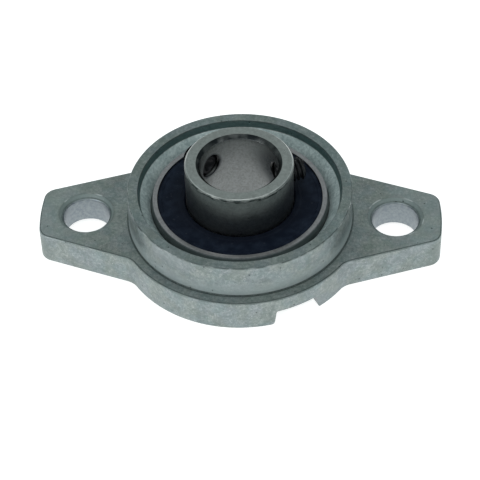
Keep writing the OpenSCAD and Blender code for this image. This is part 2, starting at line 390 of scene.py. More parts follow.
# %% [markdown]
# ## Cast zinc
#
# The housing is die-cast and then tumbled with small stones, which leaves a dull grey skin with a fine,
# even mottle, dark, greenish and pinkish clouds, a few tiny pits, and dark dust along its edges. The inner
# corner at the hub's foot and the recess are darkened too, as painted shade.
# A photograph wrapped round the part could show that, but it would stretch and would fit one view only. Noise
# read from the point in space has no seams and holds from any side. The dust and the painted shade follow an
# attribute that the mesh carries.
# Some places differ. Edges that stand out are rubbed bright in patches, partly a painted highlight along
# them.
# The bolt holes are drilled, with a dull chamfer, a dark line at the hole and a light arc around it, partly
# wear and partly a painted highlight. The cone into the seat is turned and pale, and the recess around it is
# bluish.
# The hub's wall is paler at its foot, and so is a strip of the flange's top beside it: painted light that
# lifts the shade of their corner.

# %% Clouds and places on the casting
BOLT_CHAMFER = 0.7
TOP_CHAMFER = 0.2
SOFT = 0.1
CONE_FADE = (seat_z + 1.5, seat_z + 2.5)
# Heights over which the painted light on the hub's foot fades out
FOOT_FADE = (flange_t + 0.6, flange_t + 3)
TIP_FADE = (18, 30)
END_FADE = (ear_tip_r - 4, ear_tip_r)
STRIP_FADE = (middle_r, middle_r + 1.5)


def zinc_clouds(bench, point):
    """Noise, from the widest clouds to the finest grain, and two kinds of small spots."""
    clouds = SimpleNamespace()
    clouds.stain = bench.noise(point, 6, 3).over(0.35, 0.65)
    clouds.olive = bench.noise(point, 3.2, 3).over(0.42, 0.62)
    # Patches of the light arcs round the bolt holes, partly wear and partly painted highlight
    clouds.worn = bench.noise(point, 3, 2).over(0.5, 0.62)
    clouds.tone = bench.noise(point, 2.4, 4, 0.6).over(0.32, 0.68)
    clouds.rubbed = bench.noise(point, 2.2, 3).over(0.42, 0.66)
    clouds.pink = bench.noise(point, 1.5, 2).over(0.4, 0.6)
    clouds.mottle = bench.noise(point, 0.5, 3, 0.6).over(0.34, 0.66)
    clouds.grain = bench.noise(point, 0.16, 2)
    clouds.pits = bench.specks(point, 1.1, 0.17, 0.25)
    clouds.bright = bench.specks(point, 0.8, 0.15, 0.2)
    return clouds


def hole_places(bench, places, x, y):
    """Mark the drilled walls, their chamfers, the dark line at the hole and the rim outside."""
    from_hole = bench.reach(abs(x) - bolt_spacing / 2, y)
    sunk_r = bolt_r + BOLT_CHAMFER
    places.drilled = from_hole.under(bolt_r + SOFT / 2, bolt_r + 2 * SOFT)
    places.sunk = from_hole.under(sunk_r - SOFT, sunk_r) * (1 - places.drilled)
    places.hole_edge = places.sunk * from_hole.under(bolt_r + 2 * SOFT, bolt_r + 4 * SOFT)
    outside = from_hole.over(sunk_r - SOFT, sunk_r)
    places.hole_rim = outside * from_hole.under(sunk_r + SOFT, sunk_r + 2 * SOFT)


def zinc_places(bench, point, clouds):
    """Masks of the places that have a finish of their own."""
    x, y, z = bench.split(point)
    radius = bench.reach(x, y)
    places = SimpleNamespace()
    hole_places(bench, places, x, y)

    wall = radius.over(hub_top_r - SOFT, hub_top_r) * radius.under(hub_foot_r + SOFT, hub_foot_r + 2 * SOFT)
    recess = radius.over(recess_r - SOFT, recess_r) * radius.under(rim_in_r - SOFT, rim_in_r)
    # Painted light: the foot of the hub's wall is made paler, to lift the shade along its corner with the
    # flange
    places.foot = wall * z.over(flange_t + SOFT, flange_t + 2 * SOFT) * z.under(*FOOT_FADE)
    places.recess = recess * z.over(recess_z, recess_z + SOFT)
    places.seat = radius.under(recess_r - SOFT, recess_r) * z.over(*CONE_FADE)
    places.top = z.over(flange_t - SOFT, flange_t) * radius.over(hub_foot_r, hub_foot_r + 2 * SOFT)
    # Painted light: a strip of the flange's top next to the hub is made paler, against the shade along the
    # hub's foot
    places.strip = places.top * radius.under(*STRIP_FADE)
    places.tips = abs(x).over(*TIP_FADE) * z.over(flange_t - 4 * SOFT, flange_t - SOFT)
    places.ends = abs(x).over(*END_FADE) * z.under(flange_t - 6 * SOFT, flange_t - 4 * SOFT)

    dust = bench.node("ShaderNodeAttribute", {"attribute_name": "dust"}, None, "Fac")
    below_edge = z.under(flange_t - TOP_CHAMFER, flange_t - TOP_CHAMFER / 2)
    on_rim = z.over(hub_h - 5 * SOFT, hub_h - 4 * SOFT)
    # Edges rubbed bright in patches, partly a painted highlight along them
    places.rubbed = dust.over(0.3, 0.5) * (below_edge + 0.5 * on_rim) * clouds.rubbed
    # Painted shade at the hub's foot and in the recess, and dark dust on the edges, as the dust attribute
    # gives them
    places.grime = dust.over(0.0, 0.6) * (1 - places.rubbed) * (0.55 + 0.3 * clouds.mottle)
    return places


print("soft edges on the casting are", SOFT, "mm wide")

# %% Finish: cast zinc
def zinc_colour(bench, clouds, places):
    skin = bench.blend(clouds.stain, (0.285, 0.345, 0.335, 1), (0.325, 0.362, 0.365, 1))
    skin = bench.coats(skin, (
        # Pinkish, bluish and greenish clouds, stronger on the flange's top
        (0.45 * clouds.pink, (0.350, 0.345, 0.362)),
        (0.25, (0.285, 0.345, 0.390)),
        (0.55 * clouds.olive, (0.325, 0.350, 0.312)),
        (0.45 * places.top * clouds.olive, (0.305, 0.360, 0.300)),
        (places.top * (0.15 + 0.32 * clouds.pink), (0.430, 0.405, 0.400)),
        # Painted light on the strip next to the hub
        (0.25 * places.strip, (0.50, 0.55, 0.55)),
        # Dark and light patches, then the fine mottle and grain
        (0.24 * (1 - clouds.tone), (0.13, 0.165, 0.16)),
        (0.24 * clouds.tone, (0.46, 0.50, 0.50)),
        (0.42 * (1 - clouds.mottle), (0.10, 0.135, 0.13)),
        (0.35 * (1 - clouds.grain).over(0.5, 0.66), (0.12, 0.15, 0.145)),
        (0.4 * (clouds.mottle * clouds.grain).over(0.48, 0.62), (0.50, 0.53, 0.53)),
        (0.4 * clouds.bright, (0.62, 0.64, 0.64)),
        # Paler ear tips, darker ear ends, and painted light on the hub's foot
        (0.2 * places.tips, (0.60, 0.68, 0.68)),
        (0.3 * places.ends, (0.15, 0.19, 0.18)),
        (0.6 * places.foot, (0.50, 0.56, 0.565)),
        # The bolt holes' chamfers and the bluish recess
        (0.6 * places.sunk, (0.26, 0.32, 0.315)),
        (places.hole_edge * (0.35 + 0.5 * clouds.tone), (0.06, 0.08, 0.078)),
        (0.6 * places.recess, (0.20, 0.38, 0.39)),
    ))
    cone = bench.blend(0.6 * clouds.mottle + 0.4 * clouds.tone, (0.36, 0.45, 0.46, 1), (0.70, 0.79, 0.79, 1))
    skin = bench.blend(0.85 * places.seat, skin, cone)
    skin = bench.coats(skin, (
        # Pits, dust and painted shade, rubbed edges with painted highlights, and the light arcs round the
        # holes, partly wear and partly painted highlight
        (0.75 * clouds.pits, (0.05, 0.065, 0.065)),
        (places.grime, (0.045, 0.062, 0.060)),
        (0.85 * places.rubbed, (0.62, 0.66, 0.66)),
        (0.6 * places.hole_rim * places.top * clouds.worn, (0.74, 0.78, 0.78)),
    ))
    bare = bench.blend(clouds.mottle, (0.245, 0.280, 0.310, 1), (0.350, 0.392, 0.408, 1))
    return bench.blend(places.drilled, skin, bare)


def cast_zinc():
    material, bench = new_finish("cast_zinc")
    point = bench.place()
    clouds = zinc_clouds(bench, point)
    places = zinc_places(bench, point, clouds)
    height = clouds.mottle * 0.4 + clouds.grain * 0.3 - clouds.pits
    bench.surface(bench.node("ShaderNodeBsdfPrincipled", None, {
        "Base Color": zinc_colour(bench, clouds, places),
        "Metallic": 0.85 - 0.6 * places.seat - 0.6 * places.foot - 0.55 * places.sunk,
        "Roughness": 0.46 + 0.1 * (clouds.mottle - 0.5) - 0.1 * places.drilled,
        "Normal": bench.bump(height * (1 - 0.8 * places.drilled), 0.05),
    }))
    return material


zinc = cast_zinc()
print("finish:", zinc.name)

# %% [markdown]
# ## Ground and turned steel
#
# The rings are hardened steel. Their faces are turned or ground, which leaves very fine lines around the
# axis. Lines around an axis are the same at every angle, so they depend only on the distance from the axis
# and on the height. Those two numbers, and a little of the angle, go into the noise in place of the point.
# Use adds to that: cloudy wear all over, and dark smears just below the front edge. Round the tapped holes
# the bore is darkened, partly oil and partly painted shade. The front edge has a thin bright line, a painted
# highlight as well as polish, and the chamfer below it is darkened to dim its reflection. The bore's chamfer
# is left dark, the threads are darkened, partly oil and partly painted shade in their holes, and the
# ball-shaped outside is darker.

# %% Places on the rings
# Each pair of numbers is where a place begins to give way to its neighbour, and where it ends
BORE_WALL = (bore_r + 0.02, bore_r + 0.06)
BORE_EDGE = (bore_r + 0.54, bore_r + 0.6)
BORE_EDGE_DEPTH = (0.56, 0.64)
RIM_EDGE = (inner_ring_r - 0.28, inner_ring_r - 0.22)
POLISHED_DEPTH = (0.07, 0.13)
DULL_DEPTH = (0.24, 0.3)
SMEAR_TOP = (0.1, 0.15)
SMEAR_FOOT = (0.6, 0.85)
SMEAR_NEAR = (-5, -3)
THREAD_EDGE = (2.0, 2.1)
OIL_FADES = ((1.9, 5.6), (1.9, 2.4))
BALL_SIDE_EDGE = (lip_out_r + 0.03, lip_out_r + 0.08)
FAR_AWAY = 10


def from_screw(bench, node, x, y, z):
    """The distance from a screw's line of travel, and a long way on the far side of the ring."""
    travel = joints[node + "_drive"]["axis"]
    along = x * travel[0] + y * travel[1]
    aside = y * travel[0] - x * travel[1]
    return bench.reach(aside, z - screw_z) + FAR_AWAY * along.under(0, 1)


def ring_places(bench, x, y, z):
    """Masks of the places on the rings that have a finish of their own."""
    radius = bench.reach(x, y)
    depth_in = ring_front_z - z
    rim = radius.over(*RIM_EDGE)
    screws = [from_screw(bench, node, x, y, z) for node in SCREW_NODES]
    oily = [away.under(*fade) for away, fade in zip(screws, OIL_FADES)]
    places = SimpleNamespace()
    places.bore = radius.under(*BORE_WALL)
    # The bore darkened round the tapped holes: partly oil, partly painted shade on its sides
    places.oil = places.bore * oily[0].larger(oily[1])
    places.bore_edge = radius.under(*BORE_EDGE) * depth_in.under(*BORE_EDGE_DEPTH)
    # The chamfer below the bright line, darkened to dim its reflection
    places.dull = rim * depth_in.over(*POLISHED_DEPTH) * depth_in.under(*DULL_DEPTH)
    # A thin band at the front edge, brightened as a painted highlight as well as polish
    places.polished = rim * depth_in.under(*POLISHED_DEPTH)
    places.smeared = rim * depth_in.over(*SMEAR_TOP) * depth_in.under(*SMEAR_FOOT) * y.under(*SMEAR_NEAR)
    # The threads of the tapped holes, darkened partly as oil and partly as painted shade in the holes
    places.thread = screws[0].smaller(screws[1]).under(*THREAD_EDGE) * (1 - places.bore)
    places.ball_side = radius.over(*BALL_SIDE_EDGE)
    return places


print("oil reaches", [fade[1] for fade in OIL_FADES], "mm from the screws")

# %% Finish: steel with fine lines around its axis
ANGLE_SHARE = 0.02
SMEAR_STRETCH = (0.45, 0.45, 1.6)


def lathe_steel(name, colour, shade, roughness, line_size, depth):
    """Steel turned on the Z axis: two close tints, a roughness, and the width and depth of its lines."""
    material, bench = new_finish(name)
    point = bench.place()
    x, y, z = bench.split(point)
    around = bench.join(bench.reach(x, y), z, (x + y) * ANGLE_SHARE)
    lines = bench.noise(around, line_size, 3, 0.6)
    cloud = bench.noise(point, 2.2, 3)
    wear = bench.noise(point, 0.8, 4, 0.65).over(0.3, 0.7)
    grain = bench.noise(point, 0.32, 3, 0.6).over(0.3, 0.7)
    specks = bench.specks(point, 1.5, 0.13, 0.12)
    smears = bench.noise(bench.place(SMEAR_STRETCH), 0.6, 2).over(0.42, 0.6)
    places = ring_places(bench, x, y, z)

    tint = bench.blend(0.3 * lines.over(0.3, 0.7) + 0.35 * wear + 0.35 * grain, shade, colour)
    tint = bench.coats(tint, (
        (places.bore * (0.1 + 0.6 * grain), (0.47, 0.50, 0.51)),
        (0.8 * specks, (0.02, 0.02, 0.022)),
        # Dark bore round the tapped holes, partly oil and partly painted shade
        (places.oil * (0.55 + 0.35 * grain), (0.034, 0.040, 0.054)),
        (places.bore_edge * (0.55 + 0.8 * cloud), (0.014, 0.017, 0.019)),
        # Painted shade: the chamfer under the front edge darkened in place of its reflection
        (0.7 * places.dull, (0.15, 0.165, 0.16)),
        # Painted highlight: the front edge lightened to a thin bright line
        (0.5 * places.polished * cloud.over(0.35, 0.65), (0.75, 0.78, 0.77)),
        (0.85 * places.smeared * smears, (0.03, 0.04, 0.04)),
        # Dark threads: partly oil, partly painted shade in the holes
        (0.85 * places.thread, (0.03, 0.03, 0.032)),
        # The ball-shaped outside, in the gap against the seat, is made darker
        (places.ball_side, (0.16, 0.17, 0.17)),
    ))
    bench.surface(bench.node("ShaderNodeBsdfPrincipled", None, {
        "Base Color": tint,
        "Metallic": 1.0,
        "Roughness": roughness + 0.10 * (cloud - 0.5) + 0.08 * (lines - 0.5),
        "Normal": bench.bump(lines, depth),
    }))
    return material


ground = lathe_steel(
    "ground_steel", (0.44, 0.458, 0.448, 1), (0.25, 0.262, 0.254, 1),
    roughness=0.30, line_size=0.06, depth=0.003)
turned = lathe_steel(
    "ring_steel", (0.43, 0.415, 0.428, 1), (0.25, 0.238, 0.246, 1),
    roughness=0.33, line_size=0.08, depth=0.003)
balls = lathe_steel(
    "ball_steel", (0.62, 0.63, 0.64, 1), (0.58, 0.59, 0.60, 1),
    roughness=0.08, line_size=1.5, depth=0.0005)
print("finishes:", ground.name, turned.name, balls.name)

# %% [markdown]
# ## Rubber, black steel and sheet steel
#
# The seals are moulded black rubber with a cool, slightly dusty face, pale flecks, and a dark film of grease
# that is thickest at the lip. The screws are blackened in a hot salt bath, which leaves a thin, cloudy dark
# skin. The cage and the seals' cores are pressed from sheet and never show, but they get their own finish,
# because the unit may be taken apart.

# %% Finishes: rubber, black steel and sheet
GREASE_FADE = (inner_ring_r, inner_ring_r + 3.4)


def rubber():
    material, bench = new_finish("seal_rubber")
    point = bench.place()
    x, y = bench.split(point)[:2]
    dust = bench.noise(point, 1.6, 4, 0.6)
    grain = bench.noise(point, 0.12, 2)
    flecks = bench.specks(point, 0.7, 0.16, 0.3)
    greasy = bench.reach(x, y).under(*GREASE_FADE)
    tint = bench.blend(dust.over(0.35, 0.75), (0.0026, 0.0062, 0.0170, 1), (0.0145, 0.0220, 0.0400, 1))
    tint = bench.coats(tint, (
        (0.5 * flecks, (0.040, 0.046, 0.060)),
        (0.7 * greasy, (0.0018, 0.0030, 0.0085)),
    ))
    bench.surface(bench.node("ShaderNodeBsdfPrincipled", None, {
        "Base Color": tint,
        "Roughness": 0.5 + 0.15 * dust,
        "Specular IOR Level": 0.12,
        "Normal": bench.bump(grain, 0.006),
    }))
    return material


def black_steel():
    material, bench = new_finish("black_steel")
    point = bench.place()
    cloud = bench.noise(point, 0.9, 3)
    grain = bench.noise(point, 0.1, 2)
    tint = bench.blend(cloud.over(0.35, 0.75), (0.016, 0.017, 0.020, 1), (0.035, 0.035, 0.038, 1))
    bench.surface(bench.node("ShaderNodeBsdfPrincipled", None, {
        "Base Color": tint,
        "Metallic": 0.6,
        "Roughness": 0.38 + 0.15 * cloud,
        "Normal": bench.bump(grain, 0.004),
    }))
    return material


def sheet_steel(name, colour, stain_colour):
    material, bench = new_finish(name)
    point = bench.place()
    stain = bench.noise(point, 1.2, 4, 0.6)
    grain = bench.noise(point, 0.1, 2)
    bench.surface(bench.node("ShaderNodeBsdfPrincipled", None, {
        "Base Color": bench.blend(stain.over(0.35, 0.7), colour, stain_colour),
        "Metallic": 1.0,
        "Roughness": 0.28 + 0.2 * stain,
        "Normal": bench.bump(grain, 0.004),
    }))
    return material


seal_black = rubber()
screw_black = black_steel()
cage_sheet = sheet_steel("cage_steel", (0.50, 0.47, 0.40, 1), (0.40, 0.37, 0.31, 1))
core_sheet = sheet_steel("core_steel", (0.42, 0.43, 0.44, 1), (0.34, 0.35, 0.37, 1))
print("finishes:", seal_black.name, screw_black.name, cage_sheet.name, core_sheet.name)

# %% [markdown]
# ## Pencil and lathe
#
# Nearly every shape here is round about an axis, as it comes from a lathe or a round mould. A cylinder with
# bevelled edges is one way to such a shape. A drawn half outline, spun about the axis, is better: each step,
# groove and radius sits in the outline at its true size. The pencil is a plane merged to one vertex, which is
# then extruded from point to point.

# %% Helpers for drawing and spinning
STEPS = 192
MERGE = 0.0002
TOUCH = 0.001
SMOOTH_ANGLE = math.radians(32)


def only(piece):
    """Leave edit mode and select this piece alone."""
    if bpy.context.object and bpy.context.object.mode == "EDIT":
        bpy.ops.object.mode_set(mode="OBJECT")
    bpy.ops.object.select_all(action="DESELECT")
    piece.select_set(True)
    bpy.context.view_layer.objects.active = piece


def start_piece(name):
    """A new empty piece, in edit mode."""
    if bpy.context.object and bpy.context.object.mode == "EDIT":
        bpy.ops.object.mode_set(mode="OBJECT")
    bpy.ops.object.select_all(action="DESELECT")
    bpy.ops.mesh.primitive_plane_add(size=1)
    piece = bpy.context.object
    piece.name = name
    bpy.ops.object.mode_set(mode="EDIT")
    bpy.ops.mesh.select_all(action="SELECT")
    bpy.ops.mesh.delete(type="VERT")
    return piece


def draw(points):
    """Draw a line through these points in the piece that is being edited, and leave it selected."""
    bpy.ops.mesh.select_mode(type="VERT")
    bpy.ops.mesh.select_all(action="DESELECT")
    bpy.ops.mesh.primitive_plane_add(size=1)
    bpy.ops.mesh.merge(type="CENTER")
    bpy.ops.transform.translate(value=points[0])
    for here, there in zip(points, points[1:]):
        step = Vector(there) - Vector(here)
        bpy.ops.mesh.extrude_vertices_move(TRANSFORM_OT_translate={"value": step})
    bpy.ops.mesh.select_linked()


def spin(outline, centre=(0, 0, 0), steps=STEPS):
    """Draw a half outline of (distance from the axis, height) pairs, and spin it about an upright axis."""
    axis_x, axis_y, axis_z = centre
    draw([(axis_x + away, axis_y, axis_z + height) for away, height in outline])
    bpy.ops.mesh.spin(steps=steps, angle=math.tau, center=centre, axis=(0, 0, 1))


def close_up():
    """Merge doubles, turn all faces outwards and leave edit mode. Says how many edges are still open."""
    bpy.ops.mesh.select_all(action="SELECT")
    bpy.ops.mesh.remove_doubles(threshold=MERGE)
    bpy.ops.mesh.normals_make_consistent(inside=False)
    piece = bpy.context.object
    open_edges = sum(not edge.is_manifold for edge in bmesh.from_edit_mesh(piece.data).edges)
    bpy.ops.object.mode_set(mode="OBJECT")
    print(piece.name, "has", len(piece.data.polygons), "faces and", open_edges, "open edges")
    return piece


def turned_piece(name, outline, centre=(0, 0, 0), steps=STEPS):
    """A closed piece whose half outline goes round and ends where it began, or on the axis."""
    start_piece(name)
    spin(outline, centre, steps)
    return close_up()


def arc(centre, radius, start, end, count):
    """Points on an arc, with its angles in degrees."""
    angles = [math.radians(start + (end - start) * i / count) for i in range(count + 1)]
    return [(centre[0] + radius * math.cos(a), centre[1] + radius * math.sin(a)) for a in angles]


def rounded(outline, radii, count=4):
    """The outline with its corners rounded. Corner i takes radii[i], where it is listed."""
    result = []
    for i, corner in enumerate(outline):
        if i not in radii:
            result.append(corner)
            continue
        here = Vector(corner)
        before = (Vector(outline[i - 1]) - here).normalized()
        after = (Vector(outline[(i + 1) % len(outline)]) - here).normalized()
        half = before.angle(after) / 2
        middle = here + (before + after).normalized() * radii[i] / math.sin(half)
        first = here + before * radii[i] / math.tan(half) - middle
        last = here + after * radii[i] / math.tan(half) - middle
        turn = first.angle_signed(last)
        for k in range(count + 1):
            angle = -turn * k / count
            result.append((
                middle.x + first.x * math.cos(angle) - first.y * math.sin(angle),
                middle.y + first.x * math.sin(angle) + first.y * math.cos(angle),
            ))
    return result


def select_edges(piece, wanted):
    """Select the edges of the piece being edited whose two ends are both wanted places."""
    mesh = bmesh.from_edit_mesh(piece.data)
    bpy.ops.mesh.select_mode(type="EDGE")
    bpy.ops.mesh.select_all(action="DESELECT")
    for edge in mesh.edges:
        edge.select_set(all(wanted(vertex.co) for vertex in edge.verts))
    bmesh.update_edit_mesh(piece.data)
    return sum(edge.select for edge in mesh.edges)


def cut(piece, cutter, operation="DIFFERENCE"):
    """Take the cutter's shape out of the piece, or keep only what is inside it, and put the cutter away."""
    only(piece)
    modifier = piece.modifiers.new("cut", "BOOLEAN")
    modifier.operation = operation
    modifier.solver = "EXACT"
    modifier.object = cutter
    bpy.ops.object.modifier_apply(modifier=modifier.name)
    bpy.data.objects.remove(cutter)


def dress(piece, body, node, finish):
    """Scale a finished piece to metres, smooth it, give it its finish and let it stand for its solid."""
    only(piece)
    piece.scale = (MM, MM, MM)
    bpy.ops.object.transform_apply(location=True, rotation=True, scale=True)
    bpy.ops.object.shade_smooth_by_angle(angle=SMOOTH_ANGLE)
    modifier = piece.modifiers.new("even_normals", "WEIGHTED_NORMAL")
    modifier.keep_sharp = True
    bpy.ops.object.modifier_apply(modifier=modifier.name)
    piece.data.materials.clear()
    piece.data.materials.append(finish)
    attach(piece, body)
    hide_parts(node)
    print(piece.name, "stands for", node)


print("pencil, lathe and cutter ready")

# %% [markdown]
# ## Housing: the flange
#
# Seen from above, the flange is a disc with two tapered ears. All four quarters are alike, so one quarter of
# its edge is drawn, as arcs that run into each other, and mirrored twice. The closed line is filled and
# extruded to a plate. Its lower rim is rounded. Its upper rim gets a small flat chamfer, whose two edges are
# then broken by a still smaller bevel. Its flat faces are taken off again, because the hub and the holes will
# share new ones.

# %% Draw the flange's edge
EAR_W = 14.6
EAR_TAPER = math.radians(19)
EAR_CORNER_R = 2.2
EAR_FILLET_R = 3.0
TOP_BREAK = 0.08
BOTTOM_EDGE_R = 0.5
FLAT_FACE_CORNERS = 100

side_out = Vector((math.sin(EAR_TAPER), math.cos(EAR_TAPER)))
side_run = Vector((math.cos(EAR_TAPER), -math.sin(EAR_TAPER)))
side_distance = Vector((bolt_spacing / 2, EAR_W / 2)).dot(side_out)


def beside(distance, radius):
    """The point at this distance along the ear side's normal, and this far from the middle."""
    return distance * side_out + math.sqrt(radius ** 2 - distance ** 2) * side_run


def heading(vector):
    return math.degrees(math.atan2(vector.y, vector.x))


fillet = beside(side_distance + EAR_FILLET_R, middle_r + EAR_FILLET_R)
corner = beside(side_distance - EAR_CORNER_R, ear_tip_r - EAR_CORNER_R)
quarter = arc((0, 0), middle_r, 90, heading(fillet), 36)
quarter += arc(fillet, EAR_FILLET_R, heading(-fillet) + 360, heading(-side_out) + 360, 10)[1:]
quarter += arc(corner, EAR_CORNER_R, heading(side_out), heading(corner), 14)
quarter += arc((0, 0), ear_tip_r, heading(corner), 0, 4)[1:]

housing = start_piece("housing_casting")
draw([(x, y, 0) for x, y in quarter])
for mirrored in ((-1, 1, 1), (1, -1, 1)):
    bpy.ops.mesh.select_all(action="SELECT")
    bpy.ops.mesh.duplicate()
    bpy.ops.transform.resize(value=mirrored, center_override=(0, 0, 0))
bpy.ops.mesh.select_all(action="SELECT")
bpy.ops.mesh.remove_doubles(threshold=MERGE)
print("flange edge:", len(bmesh.from_edit_mesh(housing.data).verts), "points")

# %% Make the plate and round its two rims
bpy.ops.mesh.edge_face_add()
bpy.ops.mesh.extrude_region_move(TRANSFORM_OT_translate={"value": (0, 0, flange_t)})
for level_z, width, segments in (
    (0, BOTTOM_EDGE_R, 5),
    (flange_t, TOP_CHAMFER, 1),
    (flange_t, TOP_BREAK, 2),
    (flange_t - TOP_CHAMFER, TOP_BREAK, 2),
):
    count = select_edges(housing, lambda place: abs(place.z - level_z) < TOUCH)
    bpy.ops.mesh.bevel(offset=width, segments=segments, profile=0.5, clamp_overlap=False)
    print("bevelled", count, "edges at height", level_z)

bpy.ops.mesh.select_mode(type="FACE")
bpy.ops.mesh.select_all(action="DESELECT")
for face in bmesh.from_edit_mesh(housing.data).faces:
    face.select_set(len(face.verts) > FLAT_FACE_CORNERS)
bpy.ops.mesh.delete(type="ONLY_FACE")

# %% [markdown]
# ## Housing: hub, seat and bolt holes
#
# From the flange's top the outline climbs the hub's slightly sloped wall, crosses the flat rim, drops into
# the recess and runs down a cone into the seat, which is part of a ball so that the insert can lean in it.
# One line holds all of this. The bolt holes are spun about their own axes. What is left open is the flat top
# and the flat back of the flange, and the fill tool closes each, between the plate's rim, the hub and the
# holes.

# %% Spin the hub with its seat
seat_half_angle = math.degrees(math.asin(mouth_h / seat_r))


def wall_point(height):
    """The point of the hub's sloped wall at this height."""
    return hub_top_r + (hub_h - height) * math.tan(HUB_DRAFT), height


hub = rounded([
    (hub_foot_r + DUST_W, flange_t),
    (hub_foot_r, flange_t),
    wall_point(flange_t + DUST_W),
    wall_point(hub_h - DUST_W),
    (hub_top_r, hub_h),
    (hub_top_r - DUST_W, hub_h),
    (rim_in_r, hub_h),
    (recess_r, recess_z),
    (mouth_r, seat_z + mouth_h),
], {1: FOOT_FILLET_R, 4: RIM_EDGE_R, 6: RIM_INNER_R, 7: RIM_INNER_R}, 5)
hub += arc((0, seat_z), seat_r, seat_half_angle, -seat_half_angle, 12)[1:]
hub += [(mouth_r, BACK_CHAMFER), (mouth_r + BACK_CHAMFER, 0)]
spin(hub)
print("hub outline:", len(hub), "points")

# %% Spin the bolt holes
HOLE_EDGE_R = 0.2
HOLE_STEPS = 96

bolt_hole = rounded([
    (bolt_r + BOLT_CHAMFER + DUST_W, flange_t),
    (bolt_r + BOLT_CHAMFER, flange_t),
    (bolt_r, flange_t - BOLT_CHAMFER),
    (bolt_r, BOLT_CHAMFER),
    (bolt_r + BOLT_CHAMFER, 0),
], {1: TOP_BREAK, 2: HOLE_EDGE_R, 3: HOLE_EDGE_R}, 3)
for side in (-1, 1):
    spin(bolt_hole, (side * bolt_spacing / 2, 0, 0), HOLE_STEPS)
print("bolt holes:", 2 * bolt_r, "mm,", bolt_spacing, "mm apart")

# %% Close the flat top and the flat back
for level_z in (flange_t, 0):
    bpy.ops.mesh.select_mode(type="EDGE")
    bpy.ops.mesh.select_all(action="DESELECT")
    for edge in bmesh.from_edit_mesh(housing.data).edges:
        edge.select_set(edge.is_boundary and all(abs(v.co.z - level_z) < TOUCH for v in edge.verts))
    bpy.ops.mesh.fill(use_beauty=True)
close_up()

# %% [markdown]
# ## Housing: loading slots
#
# A ball-shaped seat holds the insert captive, so there has to be a way in. At the back two opposite slots let
# the insert in edge on, as wide as the insert is thick, and it is then turned flat. Each slot runs out to the
# rim in a shallow channel with sloped sides, and one of them shows in front as a notch. Both are cut with
# solids of the same shape, because their edges cross the seat, the back and the outer wall at once.

# %% Cut the slots
SLOT_ANGLE = math.radians(119)
SLOT_GAP = 0.3
RUNOUT_W = 7.6
RUNOUT_DEPTH = 2.9
RUNOUT_DRAFT = 0.4
RUNOUT_FLARE_R = 1.0
RUNOUT_CORNER_R = 0.3
RUNOUT_ROOM = 2
CUT_MARGIN = 1

slot_w = 2 * outer_half_w + SLOT_GAP
slot_r = seat_r + SLOT_GAP / 2
slot = turned_piece("slot_cutter", [
    (0, -CUT_MARGIN), (slot_r, -CUT_MARGIN), (slot_r, seat_z), (0, seat_z)])
bpy.ops.object.mode_set(mode="EDIT")
for side in (-1, 1):
    bpy.ops.mesh.select_all(action="SELECT")
    bpy.ops.mesh.bisect(
        plane_co=(0, side * slot_w / 2, 0), plane_no=(0, side, 0), use_fill=True, clear_outer=True)
bpy.ops.object.mode_set(mode="OBJECT")
slot.rotation_euler.z = SLOT_ANGLE
cut(housing, slot)

runout = start_piece("runout_cutter")
half_mouth = RUNOUT_W / 2
narrow = half_mouth - RUNOUT_DRAFT
wide = half_mouth + RUNOUT_ROOM
section = rounded([
    (-wide, -CUT_MARGIN),
    (-wide, 0),
    (-half_mouth, 0),
    (-narrow, RUNOUT_DEPTH),
    (narrow, RUNOUT_DEPTH),
    (half_mouth, 0),
    (wide, 0),
    (wide, -CUT_MARGIN),
], {2: RUNOUT_FLARE_R, 3: RUNOUT_CORNER_R, 4: RUNOUT_CORNER_R, 5: RUNOUT_FLARE_R}, 4)
section = [(across, height - TOUCH) for across, height in section]
reach = middle_r + 2 * RUNOUT_ROOM
draw([(-reach, across, height) for across, height in section])
bpy.ops.mesh.edge_face_add()
bpy.ops.mesh.extrude_region_move(TRANSFORM_OT_translate={"value": (2 * reach, 0, 0)})
close_up()
runout.rotation_euler.z = SLOT_ANGLE
cut(housing, runout)
print("housing after the cuts:", len(housing.data.polygons), "faces")

# %% Mark the dust on the edges and the painted shade in the corners, and dress the housing
CORNER = 0.05


def dusty(place):
    """How dark a vertex is made: most at the hub's foot and a little in the recess, which is painted shade,
    and some dust on the edges around the top.
    """
    away = place.xy.length
    below = flange_t - place.z
    # Painted shade in the inner corner at the hub's foot
    if abs(away - hub_foot_r) < DUST_W / 2 and abs(below) < DUST_W / 2:
        return 1.0
    if away > hub_top_r - DUST_W / 2 and hub_h - DUST_W / 2 < place.z < hub_h - TOUCH:
        return 0.5
    # Painted shade in the recess
    if recess_r - CORNER < away < rim_in_r and recess_z < place.z < hub_h - CORNER:
        return 0.25
    if away < hub_foot_r + DUST_W:
        return 0.0
    from_hole = Vector((abs(place.x) - bolt_spacing / 2, place.y)).length
    if from_hole < bolt_r + BOLT_CHAMFER + DUST_W / 2 and below < TOP_BREAK:
        return 0.25
    if 5 * TOUCH < below < TOP_BREAK:
        return 0.8
    if abs(below - TOP_CHAMFER) < TOP_BREAK / 2:
        return 0.5
    return 0.25 if 10 * TOUCH < place.z < BOTTOM_EDGE_R / 2 else 0.0


# The dust attribute carries dark dust on the edges and painted shade in the corners
dust = housing.data.attributes.new("dust", "FLOAT", "POINT")
dust.data.foreach_set("value", [dusty(vertex.co) for vertex in housing.data.vertices])
dress(housing, "housing", "housing", zinc)

# %% [markdown]
# ## Outer ring
#
# The outer ring is round outside like a ball and has a groove inside for the balls. At each face a thin lip
# stands up around the seal. It is spun from one closed outline, with its edges broken by small radii as
# grinding leaves them.

